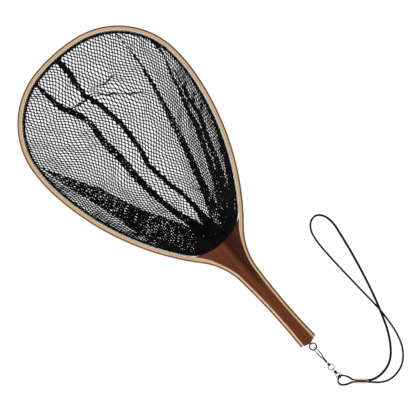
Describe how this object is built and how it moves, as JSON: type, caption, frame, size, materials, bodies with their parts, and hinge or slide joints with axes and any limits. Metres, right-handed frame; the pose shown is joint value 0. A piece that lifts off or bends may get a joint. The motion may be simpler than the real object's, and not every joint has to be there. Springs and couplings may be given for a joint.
{
  "type": "landing net",
  "caption": "Teardrop landing net with a laminated bent-wood hoop and handle, a soft netting bag, and a swivelling snap lanyard with a wrist loop.",
  "frame": {"origin": "tip of the handle's butt, where the screw eye enters the wood, at the middle of the wood's depth", "axes": "+Y from the butt to the far end of the hoop, +Z out of the face that the fish goes in by, bag hanging towards -Z, +X to the side where the wrist loop lies"},
  "size_m": [0.2964, 0.7207, 0.125],
  "materials": {
    "core_wood": "satin varnish",
    "dark_wood": "satin varnish",
    "tan_wood": "satin varnish",
    "pale_wood": "satin varnish",
    "netting": "knotless nylon mesh",
    "cord": "braided nylon",
    "black_steel": "black plated",
    "bright_steel": "nickel plated",
    "brass": "bright"
  },
  "bodies": {
    "net": {"handle_core": "core_wood", "outer_lamination": "dark_wood", "middle_lamination": "tan_wood", "inner_lamination": "pale_wood", "net_bag": "netting", "rim_cord": "cord", "lacing_cord": "cord", "lacing_loops": "cord", "screw_eye": "black_steel"},
    "snap": {"snap_hook": "black_steel", "swivel_barrel": "black_steel"},
    "gate": {"snap_gate": "black_steel"},
    "swivel": {"swivel_pin": "bright_steel", "swivel_eye_block": "black_steel"},
    "ring": {"link_ring": "bright_steel"},
    "rear_eye": {"rear_swivel_eye": "black_steel"},
    "link": {"rear_swivel_barrel": "black_steel", "triangle_link": "bright_steel"},
    "wrist_loop": {"wrist_cord": "cord", "crimp_ferrule": "brass"}
  },
  "joints": [
    {"name": "snap_swing", "type": "hinge", "parent": "net", "child": "snap", "pos_m": [0, -0.01195, 0], "axis": [1, 0, 0], "range_deg": [-65, 65]},
    {"name": "gate_open", "type": "hinge", "parent": "snap", "child": "gate", "pos_m": [-0.00067, -0.0307, 0.00067], "axis": [0.7071, 0, 0.7071], "range_deg": [0, 16]},
    {"name": "swivel_spin", "type": "hinge", "parent": "snap", "child": "swivel", "pos_m": [0, -0.037, 0], "axis": [0, 1, 0], "continuous": true},
    {"name": "ring_tilt", "type": "hinge", "parent": "swivel", "child": "ring", "pos_m": [0, -0.0442, 0], "axis": [1, 0, 0], "range_deg": [-60, 60]},
    {"name": "eye_round_ring", "type": "hinge", "parent": "ring", "child": "rear_eye", "pos_m": [0, -0.0489, 0], "axis": [0, 0, 1], "range_deg": [-50, 15]},
    {"name": "link_spin", "type": "hinge", "parent": "rear_eye", "child": "link", "pos_m": [0, -0.0585, 0], "axis": [0, 1, 0], "continuous": true},
    {"name": "cord_swing", "type": "hinge", "parent": "link", "child": "wrist_loop", "pos_m": [0, -0.0684, 0], "axis": [1, 0, 0], "range_deg": [-70, 70]}
  ]
}
